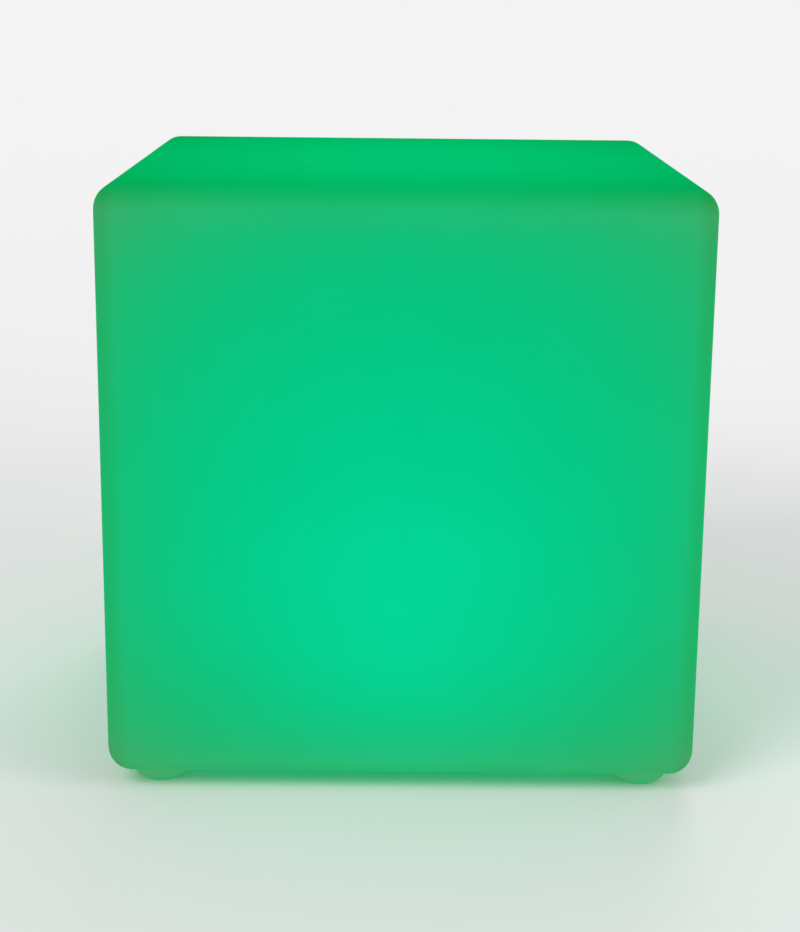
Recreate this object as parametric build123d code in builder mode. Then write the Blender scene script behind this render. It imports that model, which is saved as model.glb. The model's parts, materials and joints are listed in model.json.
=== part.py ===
from build123d import *

import os
from math import cos, radians, sin, tan

os.makedirs("parts", exist_ok=True)

# A glowing cube for indoors and the garden: a hollow moulded body on four moulded feet,
# with a sealed light module screwed into a recess in its underside.
# Millimetres, +Z up, z = 0 at the flats of the feet, the front of the cube faces -Y.

# ---- moulded body ----
body_size = 400.0  # a true cube
edge_radius = 17.0
wall = 4.0
foot_height = 11.0
foot_inset = 34.0  # from a side of the body to the centre of a foot
foot_flat_radius = 9.0
foot_base_radius = 20.0

# ---- recess in the underside, and the flange that fills it ----
recess_radius = 89.0
recess_depth = 8.0
recess_lip_radius = 3.0
opening_radius = 70.0
flange_radius = 86.0
flange_thick = 4.0
flange_edge_radius = 1.0
gasket_thick = 2.0
gasket_inner_radius = 71.5
spigot_outer_radius = 69.6
spigot_width = 2.0
spigot_height = 5.0

# ---- fasteners: thread radius, head radius, head height, key across flats, key depth ----
m4_screw = (2.0, 4.0, 2.6, 2.5, 1.5)
m3_screw = (1.5, 2.8, 2.1, 2.0, 1.2)
m25_screw = (1.25, 2.3, 1.7, 1.5, 1.0)
thread_gap = 0.03
thread_tip = 0.5  # chamfer at the end of a screw
screw_clearance = 0.25
head_crown = (0.55, 0.88, 0.78, 0.3)  # crown of a head: radii and heights, as shares of the head's
flange_screw_circle = 80.0
flange_screw_count = 6
flange_screw_length = 12.0
counterbore_radius = 4.7
counterbore_depth = 1.5
insert_radius = 3.5
insert_length = 8.0
boss_radius = 6.5
boss_height = 13.0

# ---- cup of the module ----
cup_radius = 60.0
cup_wall = 2.5
cup_top = 52.0
rim_radius = 68.0
rim_thick = 4.0
seal_groove_radius = 59.6
seal_groove_width = 2.4
seal_groove_depth = 1.5
dome_screw_circle = 64.5
dome_screw_count = 6
dome_screw_length = 10.0
dome_boss_radius = 3.2
dome_boss_height = 12.0
dome_hole_depth = 9.0
dome_hole_clearance = 0.2
gusset_thick = 2.0
gusset_reach = 6.0
gusset_root = 0.5  # how far a gusset enters the cup's wall
seal_gap = 0.2  # between the seal and the sides of its groove
seal_corner = 0.2

# ---- clear dome over the light board ----
dome_flange_thick = 3.0
dome_base_radius = 57.0
dome_rise = 25.0
dome_wall = 2.0

# ---- light board ----
led_board_radius = 55.0
led_board_thick = 1.6
led_board_bottom = 46.0
led_pillar_circle = 51.0
led_pillar_angles = (20.0, 160.0, 200.0, 340.0)
led_pillar_radius = 3.0
led_pillar_hole_depth = 9.0
led_pillar_web = (6.0, 2.0)  # along the radius, thick
led_screw_length = 8.0
led_package = 5.0
led_package_height = 1.6
led_well_radius = 2.0
led_well_depth = 0.4
outer_ring = (40.0, 16)  # ring radius, number of light emitters
inner_ring = (20.0, 8)
lead_slot = (12.0, 6.0, 1.5)  # along X, along Y, corner radius
lead_slot_y = -46.0
receiver_body = (7.0, 5.6, 4.2, 0.6)  # along X, along Y, high, corner radius
receiver_lens_radius = 2.4

# ---- battery pack: two cells side by side, lying along X ----
cell_radius = 9.1
cell_length = 65.0
cell_spacing = 18.3
pack_y = 26.5
cell_groove = (4.0, 1.2, 0.5)  # distance from the positive end, wide, deep
sleeve_thick = 0.4
sleeve_overhang = 0.7
pack_board = (50.0, 8.0, 1.0)  # along X, along Y, thick
pack_board_depth = 1.5  # from the top of the cells down to the board's underside
cradle_seat = 1.0
cradle_side = 1.5  # rib beside the pack
seat_gap = 0.1
cradle_height = 8.0
cradle_thick = 2.0
cradle_spacing = 24.0
tab_width = 6.0
tab_thick = 0.2
tab_corner = 1.0
clamp_width = 12.0
clamp_thick = 2.0
pad_thick = 1.0
clamp_pillar_y = (3.4, 50.4)
clamp_pillar_radius = 3.0
clamp_end_width = 8.0
clamp_shoulder = 7.0  # from a pillar to where the clamp gets wide
clamp_corner = 2.0
clamp_hole_depth = 8.0
clamp_screw_length = 8.0

# ---- control board ----
board_x = (-30.0, 14.0)
board_y = (-44.0, -8.0)
board_bottom = 29.0
board_thick = 1.6
standoff_inset = 3.0
standoff_radius = 2.7
standoff_hole_depth = 7.0
board_screw_length = 6.0
board_corner = 2.0
chip_place = (-14.0, -28.0)
chip_size = (9.0, 9.0, 1.2, 0.2)  # along X, along Y, high, edge chamfer
inductor_place = (-19.0, -15.0)
inductor_size = (8.0, 8.0, 4.0, 1.5)  # along X, along Y, high, corner radius
capacitor_places = [(-5.0, -13.5), (-5.0, -21.0)]
capacitor_size = (3.15, 7.5, 0.5)  # radius, high, edge radius
connector_height = 5.5
connector_corner = 0.5
battery_plug = (9.5, -19.5, 6.0, 8.0)  # centre x, centre y, along X, along Y
socket_plug = (9.5, -31.0, 6.0, 8.0)
light_plug = (0.0, -39.0, 12.0, 6.0)
indicator_size = (2.0, 1.3, 0.8)

# ---- controls, in a shallow recess on the underside ----
control_y = -30.0
control_recess = (86.0, 26.0, 2.0)  # along X, along Y, deep
control_recess_x = 7.0
control_recess_corner = 6.0

button_x = -24.0
button_radius = 5.0
button_hole_radius = 5.25
button_guide_radius = 8.0
button_guide_height = 2.0
button_proud = 1.3
button_travel = 1.5
button_edge_radius = 0.7
button_collar = (6.4, 1.0)  # radius, thick
button_hub_radius = 2.2
sign_ring = (2.2, 1.7)  # outer and inner radius of the sign on the button
sign_gap = 1.5
sign_bar = (0.5, 2.0, 1.7)  # wide, long, distance of its middle from the ring's
sign_depth = 0.25
button_seal_outer = 5.17
button_seal_inner = 4.2
button_seal_rise = 1.05  # above the floor of the control recess
button_seal_thick = 0.8
button_seal_edge = 0.3
seal_play = 0.05  # above and below the seal in its groove
switch_size = 8.5
switch_height = 7.0
switch_corner = 0.6
switch_wall = 1.0  # under the plunger's flange
switch_roof = 0.8
switch_bore_radius = 3.4
plunger_radius = 1.75
plunger_play = 0.1
plunger_flange = (3.1, 1.0)  # radius, thick
plunger_stub_radius = 1.1
spring_radius = 1.7
spring_wire_radius = 0.2
spring_turns = 4

pipe_x = 0.0
pipe_radius = 1.5
pipe_proud = 0.3
pipe_edge_radius = 0.25
pipe_collar = (2.6, 1.0)  # radius, thick
pipe_play = 0.05
indicator_gap = 0.2

socket_x = 24.0
socket_radius = 5.4
socket_flange_radius = 6.5
socket_flange_thick = 1.0
socket_edge_radius = 0.4
socket_play = 0.1
socket_length = 12.0  # above the flange
socket_mouth_radius = 3.9
socket_mouth_depth = 3.2
socket_bore_radius = 2.85
socket_bore_depth = 12.0
socket_pin_radius = 1.05
socket_pin_recess = 0.6  # from the mouth's step to the tip of the pin
solder_tab = (0.5, 2.2, 2.6)  # thick, wide, long
solder_tab_offset = 3.2
nut_across_flats = 14.0
nut_thick = 2.5
washer_thick = 0.8
washer_width = 3.0

hinge_x = 38.0  # bending line of the port cap's strap
strap_gap = 0.4
strap_width = 5.0
cap_plate_radius = 7.2
cap_thick = 1.2
cap_edge_radius = 0.35
cap_pull_tab = (8.0, 5.0)
cap_stem_radius = 3.4
cap_stem_height = 2.5
cap_stem_edge = 0.6
anchor_x = 43.0
anchor_pad_radius = 3.5
anchor_post_radius = 1.5
anchor_hole_radius = 1.6
anchor_head = (2.3, 1.2, 0.5)  # radius, high, edge radius
anchor_gap = 0.05

# ---- wires inside the module ----
power_lead_radius = 0.8
signal_lead_radius = 0.6
wire_gap = 0.05
light_wire_xs = (-4.0, -2.0, 0.0, 2.0, 4.0)

# ---- heights worked out from the above ----
body_bottom = foot_height
floor_top = body_bottom + wall
recess_roof = body_bottom + recess_depth
flange_top = recess_roof - gasket_thick
flange_bottom = flange_top - flange_thick
control_floor = flange_bottom + control_recess[2]
foot_centre = body_size / 2 - foot_inset
pack_z = flange_top + cradle_seat + sleeve_thick + cell_radius
pack_top = pack_z + cell_radius + sleeve_thick
clamp_bottom = pack_top + pad_thick
clamp_top = clamp_bottom + clamp_thick
led_board_top = led_board_bottom + led_board_thick
board_top = board_bottom + board_thick
switch_bottom = board_bottom - switch_height
guide_top = flange_top + button_guide_height
collar_bottom = guide_top + 0.05
collar_top = collar_bottom + button_collar[1]
plunger_bottom = collar_top + 0.25
plunger_flange_bottom = switch_bottom + switch_wall + 0.05
plunger_flange_top = plunger_flange_bottom + plunger_flange[1]
spring_roof = board_bottom - switch_roof
socket_face = control_floor - socket_flange_thick
socket_rear = control_floor + socket_length
cap_top = socket_face - socket_play
cap_bottom = cap_top - cap_thick

rising = (Align.CENTER, Align.CENTER, Align.MIN)


def ring_points(circle_radius, angles):
    return [
        (circle_radius * cos(radians(angle)), circle_radius * sin(radians(angle)))
        for angle in angles
    ]


def screw(size, length, down=False):
    # a cap screw with its head's seat at z = 0, its thread going up, or down
    thread_radius, head_radius, head_height, flats, key_depth = size
    flat_share, crown_share, crown_height, side_height = head_crown
    head_flat = (head_radius * flat_share, -head_height)
    crown = (head_radius * crown_share, -head_height * crown_height)
    head_side = (head_radius, -head_height * side_height)
    with BuildPart() as one:
        with BuildSketch(Plane.XZ):
            with BuildLine():
                Line((0, -head_height), head_flat)
                ThreePointArc(head_flat, crown, head_side)
                Polyline(
                    head_side,
                    (head_radius, 0),
                    (thread_radius - thread_gap, 0),
                    (thread_radius - thread_gap, length - thread_tip),
                    (thread_radius - thread_tip, length),
                    (0, length),
                    (0, -head_height),
                )
            make_face()
        revolve(axis=Axis.Z)
        with BuildSketch(Plane.XY.offset(-head_height)):
            RegularPolygon(radius=flats / 2, side_count=6, major_radius=False)
        extrude(amount=key_depth, mode=Mode.SUBTRACT)
    if down:
        return one.part.rotate(Axis.X, 180)
    return one.part


def corner_radii(points):
    # the widest arc that the two runs at each corner allow
    radii = []
    for before, corner, after in zip(points, points[1:], points[2:]):
        into = Vector(*corner) - Vector(*before)
        out = Vector(*after) - Vector(*corner)
        turn = into.get_angle(out)
        radii.append(0.45 * min(into.length, out.length) / tan(radians(turn / 2)))
    return radii


def lead(points, radius):
    # one insulated wire: straight runs joined by wide arcs
    radii = corner_radii(points)
    print("lead arcs", [round(value, 1) for value in radii])
    with BuildPart() as wire:
        with BuildLine() as route:
            FilletPolyline(*points, radius=radii)
        with BuildSketch(Plane(origin=route.line @ 0, z_dir=route.line % 0)):
            Circle(radius)
        sweep(path=route.line)
    return wire.part


# ---- moulded body: hollow cube, feet, module recess and insert bosses ----
foot_round = foot_base_radius - foot_flat_radius
with BuildPart() as foot_outside:
    with BuildSketch(Plane.XZ):
        with BuildLine():
            Line((0, 0), (foot_flat_radius, 0))
            RadiusArc((foot_flat_radius, 0), (foot_base_radius, foot_height), -foot_round)
            Polyline(
                (foot_base_radius, foot_height),
                (foot_base_radius, foot_height + wall / 2),
                (0, foot_height + wall / 2),
                (0, 0),
            )
        make_face()
    revolve(axis=Axis.Z)

foot_hollow_radius = foot_base_radius - wall
with BuildPart() as foot_inside:
    with BuildSketch(Plane.XZ):
        with BuildLine():
            Line((0, wall), (foot_flat_radius, wall))
            RadiusArc(
                (foot_flat_radius, wall),
                (foot_hollow_radius, foot_height),
                wall - foot_round,
            )
            Polyline(
                (foot_hollow_radius, foot_height),
                (foot_hollow_radius, floor_top),
                (0, floor_top),
                (0, wall),
            )
        make_face()
    revolve(axis=Axis.Z)

cavity_size = body_size - 2 * wall
with BuildPart() as cavity:
    with Locations((0, 0, floor_top)):
        Box(cavity_size, cavity_size, cavity_size, align=rising)
    fillet(cavity.edges(), radius=edge_radius - wall)

with BuildPart() as cube_shell:
    with Locations((0, 0, body_bottom)):
        Box(body_size, body_size, body_size, align=rising)
    fillet(cube_shell.edges(), radius=edge_radius)
    add(cavity.part, mode=Mode.SUBTRACT)
    with GridLocations(2 * foot_centre, 2 * foot_centre, 2, 2):
        add(foot_outside.part)
    with GridLocations(2 * foot_centre, 2 * foot_centre, 2, 2):
        add(foot_inside.part, mode=Mode.SUBTRACT)
    with BuildSketch(Plane.XY.offset(body_bottom)):
        Circle(recess_radius + wall)
    extrude(amount=recess_depth + wall)
    with BuildSketch(Plane.XY.offset(body_bottom)):
        Circle(recess_radius)
    extrude(amount=recess_depth, mode=Mode.SUBTRACT)
    lip = cube_shell.edges().filter_by(GeomType.CIRCLE)
    lip = lip.filter_by(lambda edge: abs(edge.radius - recess_radius) < 0.01)
    fillet(lip.group_by(Axis.Z)[0], radius=recess_lip_radius)
    with BuildSketch(Plane.XY.offset(recess_roof)):
        with PolarLocations(flange_screw_circle, flange_screw_count):
            Circle(boss_radius)
    extrude(amount=boss_height)
    with BuildSketch(Plane.XY.offset(recess_roof)):
        with PolarLocations(flange_screw_circle, flange_screw_count):
            Circle(insert_radius)
    extrude(amount=insert_length, mode=Mode.SUBTRACT)
    with BuildSketch(Plane.XY.offset(recess_roof)):
        Circle(opening_radius)
    extrude(amount=wall, mode=Mode.SUBTRACT)
cube_shell.part.label = "cube_shell"
export_step(cube_shell.part, "parts/cube_shell.step")

# ---- brass inserts in the bosses: two knurled bands with a waist between ----
waist_radius = insert_radius - 0.5
waist_height = insert_length / 4
with BuildPart() as threaded_inserts:
    with BuildSketch(Plane.XY.offset(recess_roof)):
        with PolarLocations(flange_screw_circle, flange_screw_count):
            Circle(insert_radius)
    extrude(amount=insert_length)
    with BuildSketch(Plane.XY.offset(recess_roof + (insert_length - waist_height) / 2)):
        with PolarLocations(flange_screw_circle, flange_screw_count):
            Circle(insert_radius)
            Circle(waist_radius, mode=Mode.SUBTRACT)
    extrude(amount=waist_height, mode=Mode.SUBTRACT)
    with BuildSketch(Plane.XY.offset(recess_roof)):
        with PolarLocations(flange_screw_circle, flange_screw_count):
            Circle(m4_screw[0])
    extrude(amount=insert_length, mode=Mode.SUBTRACT)
threaded_inserts.part.label = "threaded_inserts"
export_step(threaded_inserts.part, "parts/threaded_inserts.step")

# ---- housing of the module: flange, spigot, cup, rim, and all that the cup holds up ----
led_pillar_points = ring_points(led_pillar_circle, led_pillar_angles)
clamp_pillar_points = [(0, y) for y in clamp_pillar_y]
standoff_points = [
    (x, y)
    for x in (board_x[0] + standoff_inset, board_x[1] - standoff_inset)
    for y in (board_y[0] + standoff_inset, board_y[1] - standoff_inset)
]
cup_inner_radius = cup_radius - cup_wall
pack_outer_radius = cell_radius + sleeve_thick
web_middle = cup_inner_radius + 0.5 - led_pillar_web[0] / 2

with BuildPart() as base_housing:
    with BuildSketch(Plane.XY.offset(flange_bottom)):
        Circle(flange_radius)
    extrude(amount=flange_thick)
    rim_edge = base_housing.edges().group_by(Axis.Z)[0]
    fillet(rim_edge, radius=flange_edge_radius)
    with BuildSketch(Plane.XY.offset(flange_top)):
        Circle(spigot_outer_radius)
        Circle(spigot_outer_radius - spigot_width, mode=Mode.SUBTRACT)
    extrude(amount=spigot_height)
    with BuildSketch(Plane.XY.offset(flange_top)):
        Circle(cup_radius)
        Circle(cup_inner_radius, mode=Mode.SUBTRACT)
    extrude(amount=cup_top - flange_top)
    with BuildSketch(Plane.XY.offset(cup_top - rim_thick)):
        Circle(rim_radius)
        Circle(cup_inner_radius, mode=Mode.SUBTRACT)
    extrude(amount=rim_thick)
    # bosses for the dome's screws, under the rim
    with BuildSketch(Plane.XY.offset(cup_top - dome_boss_height)):
        with PolarLocations(dome_screw_circle, dome_screw_count):
            Circle(dome_boss_radius)
    extrude(amount=dome_boss_height)
    # gussets between the bosses, from the flange up to the rim
    with BuildSketch(Plane.XY.offset(flange_top)):
        with PolarLocations(
            cup_radius - gusset_root + gusset_reach / 2,
            dome_screw_count,
            start_angle=180 / dome_screw_count,
        ):
            Rectangle(gusset_reach, gusset_thick)
    extrude(amount=cup_top - rim_thick - flange_top)
    with BuildSketch(Plane.XY.offset(cup_top - seal_groove_depth)):
        Circle(seal_groove_radius + seal_groove_width / 2)
        Circle(seal_groove_radius - seal_groove_width / 2, mode=Mode.SUBTRACT)
    extrude(amount=seal_groove_depth, mode=Mode.SUBTRACT)
    with BuildSketch(Plane.XY.offset(cup_top - dome_hole_depth)):
        with PolarLocations(dome_screw_circle, dome_screw_count):
            Circle(m3_screw[0])
    extrude(amount=dome_hole_depth, mode=Mode.SUBTRACT)
    # pillars under the light board, webbed to the cup's wall
    with BuildSketch(Plane.XY.offset(flange_top)):
        with Locations(*led_pillar_points):
            Circle(led_pillar_radius)
        for angle in led_pillar_angles:
            with PolarLocations(web_middle, 1, start_angle=angle):
                Rectangle(led_pillar_web[0], led_pillar_web[1])
    extrude(amount=led_board_bottom - flange_top)
    with BuildSketch(Plane.XY.offset(led_board_bottom - led_pillar_hole_depth)):
        with Locations(*led_pillar_points):
            Circle(m3_screw[0])
    extrude(amount=led_pillar_hole_depth, mode=Mode.SUBTRACT)
    # cradle ribs that the battery pack lies in
    for rib_x in (-cradle_spacing, 0, cradle_spacing):
        with BuildSketch(Plane.YZ.offset(rib_x)):
            with Locations((pack_y, flange_top)):
                Rectangle(
                    cell_spacing + 2 * (pack_outer_radius + cradle_side),
                    cradle_height,
                    align=(Align.CENTER, Align.MIN),
                )
            with Locations((pack_y, pack_z)):
                SlotCenterToCenter(
                    cell_spacing,
                    2 * (pack_outer_radius + seat_gap),
                    mode=Mode.SUBTRACT,
                )
        extrude(amount=cradle_thick / 2, both=True)
    # pillars for the battery clamp
    with BuildSketch(Plane.XY.offset(flange_top)):
        with Locations(*clamp_pillar_points):
            Circle(clamp_pillar_radius)
    extrude(amount=clamp_bottom - flange_top)
    with BuildSketch(Plane.XY.offset(clamp_bottom - clamp_hole_depth)):
        with Locations(*clamp_pillar_points):
            Circle(m3_screw[0])
    extrude(amount=clamp_hole_depth, mode=Mode.SUBTRACT)
    # standoffs for the control board
    with BuildSketch(Plane.XY.offset(flange_top)):
        with Locations(*standoff_points):
            Circle(standoff_radius)
    extrude(amount=board_bottom - flange_top)
    with BuildSketch(Plane.XY.offset(board_bottom - standoff_hole_depth)):
        with Locations(*standoff_points):
            Circle(m25_screw[0])
    extrude(amount=standoff_hole_depth, mode=Mode.SUBTRACT)
    # guide round the button's hole
    with BuildSketch(Plane.XY.offset(flange_top)):
        with Locations((button_x, control_y)):
            Circle(button_guide_radius)
    extrude(amount=button_guide_height)
    # recess for the controls, and the holes in its floor
    with BuildSketch(Plane.XY.offset(flange_bottom)):
        with Locations((control_recess_x, control_y)):
            RectangleRounded(control_recess[0], control_recess[1], control_recess_corner)
    extrude(amount=control_recess[2], mode=Mode.SUBTRACT)
    with BuildSketch(Plane.XY.offset(control_floor)):
        with Locations((button_x, control_y)):
            Circle(button_hole_radius)
    extrude(amount=guide_top - control_floor, mode=Mode.SUBTRACT)
    with BuildSketch(Plane.XY.offset(control_floor)):
        with Locations((socket_x, control_y)):
            Circle(socket_radius + socket_play)
        with Locations((pipe_x, control_y)):
            Circle(pipe_radius + pipe_play)
        with Locations((anchor_x, control_y)):
            Circle(anchor_hole_radius)
    extrude(amount=flange_top - control_floor, mode=Mode.SUBTRACT)
    # holes and counterbores for the flange screws
    with BuildSketch(Plane.XY.offset(flange_bottom)):
        with PolarLocations(flange_screw_circle, flange_screw_count):
            Circle(m4_screw[0] + screw_clearance)
    extrude(amount=flange_thick, mode=Mode.SUBTRACT)
    with BuildSketch(Plane.XY.offset(flange_bottom)):
        with PolarLocations(flange_screw_circle, flange_screw_count):
            Circle(counterbore_radius)
    extrude(amount=counterbore_depth, mode=Mode.SUBTRACT)
base_housing.part.label = "base_housing"
export_step(base_housing.part, "parts/base_housing.step")

# ---- flange gasket, under the roof of the recess ----
with BuildPart() as flange_gasket:
    with BuildSketch(Plane.XY.offset(flange_top)):
        Circle(flange_radius)
        Circle(gasket_inner_radius, mode=Mode.SUBTRACT)
        with PolarLocations(flange_screw_circle, flange_screw_count):
            Circle(m4_screw[0] + screw_clearance, mode=Mode.SUBTRACT)
    extrude(amount=gasket_thick)
flange_gasket.part.label = "flange_gasket"
export_step(flange_gasket.part, "parts/flange_gasket.step")

# ---- flange screws, heads sunk in their counterbores ----
m4 = screw(m4_screw, flange_screw_length)
with BuildPart(Plane.XY.offset(flange_bottom + counterbore_depth)) as flange_screws:
    with PolarLocations(flange_screw_circle, flange_screw_count):
        add(m4)
flange_screws.part.label = "flange_screws"
export_step(flange_screws.part, "parts/flange_screws.step")

# ---- clear dome that closes the cup ----
dome_flange_top = cup_top + dome_flange_thick
dome_sphere = (dome_base_radius**2 + dome_rise**2) / (2 * dome_rise)
dome_top = dome_flange_top + dome_rise
dome_centre = dome_top - dome_sphere
dome_inner_sphere = dome_sphere - dome_wall
dome_inner_radius = (dome_inner_sphere**2 - (cup_top - dome_centre) ** 2) ** 0.5
with BuildPart() as lens_dome:
    with BuildSketch(Plane.XZ):
        with BuildLine():
            RadiusArc((dome_base_radius, dome_flange_top), (0, dome_top), -dome_sphere)
            Line((0, dome_top), (0, dome_top - dome_wall))
            RadiusArc(
                (0, dome_top - dome_wall),
                (dome_inner_radius, cup_top),
                dome_inner_sphere,
            )
            Polyline(
                (dome_inner_radius, cup_top),
                (rim_radius, cup_top),
                (rim_radius, dome_flange_top),
                (dome_base_radius, dome_flange_top),
            )
        make_face()
    revolve(axis=Axis.Z)
    with BuildSketch(Plane.XY.offset(cup_top)):
        with PolarLocations(dome_screw_circle, dome_screw_count):
            Circle(m3_screw[0] + dome_hole_clearance)
    extrude(amount=dome_flange_thick, mode=Mode.SUBTRACT)
lens_dome.part.label = "lens_dome"
export_step(lens_dome.part, "parts/lens_dome.step")

# ---- seal squeezed into the groove of the rim ----
with BuildPart() as dome_seal:
    with BuildSketch(Plane.XZ):
        with Locations((seal_groove_radius, cup_top - seal_groove_depth / 2)):
            RectangleRounded(
                seal_groove_width - 2 * seal_gap, seal_groove_depth, seal_corner
            )
    revolve(axis=Axis.Z)
dome_seal.part.label = "dome_seal"
export_step(dome_seal.part, "parts/dome_seal.step")

# ---- dome screws ----
dome_screw = screw(m3_screw, dome_screw_length, down=True)
with BuildPart(Plane.XY.offset(dome_flange_top)) as dome_screws:
    with PolarLocations(dome_screw_circle, dome_screw_count):
        add(dome_screw)
dome_screws.part.label = "dome_screws"
export_step(dome_screws.part, "parts/dome_screws.step")

# ---- light board with its emitters facing up ----
with BuildPart() as led_board:
    with BuildSketch(Plane.XY.offset(led_board_bottom)):
        Circle(led_board_radius)
        with Locations(*led_pillar_points):
            Circle(m3_screw[0] + dome_hole_clearance, mode=Mode.SUBTRACT)
        with Locations((0, lead_slot_y)):
            RectangleRounded(*lead_slot, mode=Mode.SUBTRACT)
    extrude(amount=led_board_thick)
led_board.part.label = "led_board"
export_step(led_board.part, "parts/led_board.step")

with BuildPart() as led_emitters:
    for ring_radius, count in (outer_ring, inner_ring):
        with BuildSketch(Plane.XY.offset(led_board_top)):
            with PolarLocations(ring_radius, count, start_angle=180 / count):
                Rectangle(led_package, led_package)
        extrude(amount=led_package_height)
        well_floor = led_board_top + led_package_height - led_well_depth
        with BuildSketch(Plane.XY.offset(well_floor)):
            with PolarLocations(ring_radius, count, start_angle=180 / count):
                Circle(led_well_radius)
        extrude(amount=led_well_depth, mode=Mode.SUBTRACT)
led_emitters.part.label = "led_emitters"
export_step(led_emitters.part, "parts/led_emitters.step")

# ---- receiver for the remote control, at the middle of the light board ----
receiver_x, receiver_y, receiver_height, receiver_corner = receiver_body
with BuildPart() as ir_receiver:
    with BuildSketch(Plane.XY.offset(led_board_top)):
        RectangleRounded(receiver_x, receiver_y, receiver_corner)
    extrude(amount=receiver_height)
    with Locations((0, 0, led_board_top + receiver_height)):
        Sphere(receiver_lens_radius)
ir_receiver.part.label = "ir_receiver"
export_step(ir_receiver.part, "parts/ir_receiver.step")

led_board_screw = screw(m3_screw, led_screw_length, down=True)
with BuildPart(Plane.XY.offset(led_board_top)) as led_board_screws:
    with Locations(*led_pillar_points):
        add(led_board_screw)
led_board_screws.part.label = "led_board_screws"
export_step(led_board_screws.part, "parts/led_board_screws.step")

# ---- battery pack: cells, end tabs, protection board, shrink sleeve ----
cell_ys = (pack_y - cell_spacing / 2, pack_y + cell_spacing / 2)
groove_from_end, groove_width, groove_depth = cell_groove
with BuildPart() as battery_cells:
    with BuildSketch(Plane.YZ.offset(-cell_length / 2)):
        with Locations(*[(y, pack_z) for y in cell_ys]):
            Circle(cell_radius)
    extrude(amount=cell_length)
    with BuildSketch(Plane.YZ.offset(cell_length / 2 - groove_from_end)):
        with Locations(*[(y, pack_z) for y in cell_ys]):
            Circle(cell_radius)
            Circle(cell_radius - groove_depth, mode=Mode.SUBTRACT)
    extrude(amount=groove_width, mode=Mode.SUBTRACT)
battery_cells.part.label = "battery_cells"
export_step(battery_cells.part, "parts/battery_cells.step")

with BuildPart() as cell_tabs:
    for side in (-1, 1):
        with BuildSketch(Plane.YZ.offset(side * (cell_length + tab_thick) / 2)):
            with Locations((pack_y, pack_z)):
                RectangleRounded(cell_spacing + tab_width, tab_width, tab_corner)
        extrude(amount=tab_thick / 2, both=True)
cell_tabs.part.label = "cell_tabs"
export_step(cell_tabs.part, "parts/cell_tabs.step")

with BuildPart() as protection_board:
    with BuildSketch(Plane.XY.offset(pack_z + cell_radius - pack_board_depth)):
        with Locations((0, pack_y)):
            Rectangle(pack_board[0], pack_board[1])
    extrude(amount=pack_board[2])
protection_board.part.label = "protection_board"
export_step(protection_board.part, "parts/protection_board.step")

sleeve_length = cell_length + 2 * sleeve_overhang
with BuildPart() as battery_sleeve:
    with BuildSketch(Plane.YZ.offset(-sleeve_length / 2)):
        with Locations((pack_y, pack_z)):
            SlotCenterToCenter(cell_spacing, 2 * pack_outer_radius)
            SlotCenterToCenter(cell_spacing, 2 * cell_radius, mode=Mode.SUBTRACT)
    extrude(amount=sleeve_length)
battery_sleeve.part.label = "battery_sleeve"
export_step(battery_sleeve.part, "parts/battery_sleeve.step")

# ---- foam pad and clamp that hold the pack in its cradle ----
with BuildPart() as battery_pad:
    with BuildSketch(Plane.XY.offset(pack_top)):
        with Locations((0, pack_y)):
            Rectangle(clamp_width - pad_thick, cell_spacing)
    extrude(amount=pad_thick)
battery_pad.part.label = "battery_pad"
export_step(battery_pad.part, "parts/battery_pad.step")

clamp_middle = sum(clamp_pillar_y) / 2
clamp_reach = clamp_pillar_y[1] - clamp_pillar_y[0]
with BuildPart() as battery_clamp:
    with BuildSketch(Plane.XY.offset(clamp_bottom)):
        with Locations((0, clamp_middle)):
            SlotCenterToCenter(clamp_reach, clamp_end_width, rotation=90)
            RectangleRounded(clamp_width, clamp_reach - 2 * clamp_shoulder, clamp_corner)
        with Locations(*clamp_pillar_points):
            Circle(m3_screw[0] + dome_hole_clearance, mode=Mode.SUBTRACT)
    extrude(amount=clamp_thick)
battery_clamp.part.label = "battery_clamp"
export_step(battery_clamp.part, "parts/battery_clamp.step")

clamp_screw = screw(m3_screw, clamp_screw_length, down=True)
with BuildPart(Plane.XY.offset(clamp_top)) as clamp_screws:
    with Locations(*clamp_pillar_points):
        add(clamp_screw)
clamp_screws.part.label = "clamp_screws"
export_step(clamp_screws.part, "parts/clamp_screws.step")

# ---- control board and what is soldered to it ----
board_size = (board_x[1] - board_x[0], board_y[1] - board_y[0])
board_middle = (sum(board_x) / 2, sum(board_y) / 2)
with BuildPart() as control_board:
    with BuildSketch(Plane.XY.offset(board_bottom)):
        with Locations(board_middle):
            RectangleRounded(board_size[0], board_size[1], board_corner)
        with Locations(*standoff_points):
            Circle(m25_screw[0] + dome_hole_clearance, mode=Mode.SUBTRACT)
    extrude(amount=board_thick)
control_board.part.label = "control_board"
export_step(control_board.part, "parts/control_board.step")

board_screw = screw(m25_screw, board_screw_length, down=True)
with BuildPart(Plane.XY.offset(board_top)) as board_screws:
    with Locations(*standoff_points):
        add(board_screw)
board_screws.part.label = "board_screws"
export_step(board_screws.part, "parts/board_screws.step")

with BuildPart() as controller_chip:
    with BuildSketch(Plane.XY.offset(board_top)):
        with Locations(chip_place):
            Rectangle(chip_size[0], chip_size[1])
    extrude(amount=chip_size[2])
    chamfer(controller_chip.faces().sort_by(Axis.Z)[-1].edges(), length=chip_size[3])
controller_chip.part.label = "controller_chip"
export_step(controller_chip.part, "parts/controller_chip.step")

with BuildPart() as power_inductor:
    with BuildSketch(Plane.XY.offset(board_top)):
        with Locations(inductor_place):
            RectangleRounded(inductor_size[0], inductor_size[1], inductor_size[3])
    extrude(amount=inductor_size[2])
power_inductor.part.label = "power_inductor"
export_step(power_inductor.part, "parts/power_inductor.step")

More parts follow.
